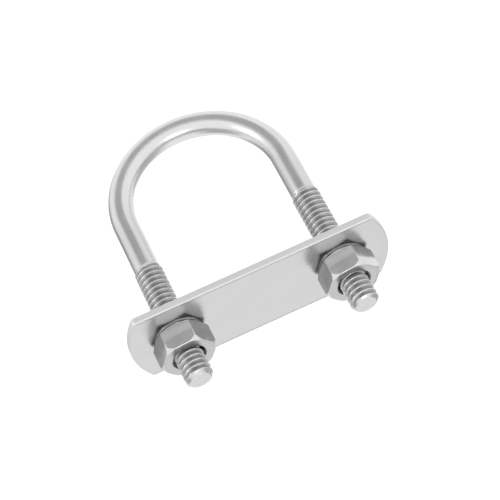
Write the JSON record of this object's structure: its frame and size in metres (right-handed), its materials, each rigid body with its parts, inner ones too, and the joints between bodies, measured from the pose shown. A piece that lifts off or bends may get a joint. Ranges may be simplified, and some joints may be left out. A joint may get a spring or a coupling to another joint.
{
  "type": "u-bolt anchor",
  "caption": "Bent-rod U-bolt with threaded legs through a flat retaining plate with bowed ends, held by hex nuts; the bend serves as a lashing eye.",
  "frame": {"origin": "centre of the plate's clamp face, midway between the two legs", "axes": "+X along the plate from the left leg to the right leg, +Y along the legs from the nuts towards the bend, +Z along the plate's short side, up as the fitting lies on a bench"},
  "size_m": [0.059, 0.0642, 0.0212],
  "materials": {
    "rod_steel": "drawn, semi-polished",
    "plate_steel": "satin polished",
    "nut_steel": "bright, tumbled"
  },
  "bodies": {
    "u_bolt": {"u_bolt": "rod_steel"},
    "plate": {"plate": "plate_steel"},
    "left_nut": {"left_nut": "nut_steel"},
    "right_nut": {"right_nut": "nut_steel"}
  },
  "joints": [
    {"name": "plate_slide", "type": "slide", "parent": "u_bolt", "child": "plate", "axis": [0, 1, 0], "range_m": [-0.00603, 0.0165]},
    {"name": "left_nut_spin", "type": "hinge", "parent": "plate", "child": "left_nut", "pos_m": [-0.01877, -0.0046, 0], "axis": [0, 1, 0], "range_deg": [-1710, 4680]},
    {"name": "right_nut_spin", "type": "hinge", "parent": "plate", "child": "right_nut", "pos_m": [0.01877, -0.0046, 0], "axis": [0, 1, 0], "range_deg": [-1710, 4680]}
  ],
  "couplings": [
    {"joint": "left_nut_spin", "follows": "plate_slide", "rad_per_m": 4947.4},
    {"joint": "right_nut_spin", "follows": "plate_slide", "rad_per_m": 4947.4}
  ]
}
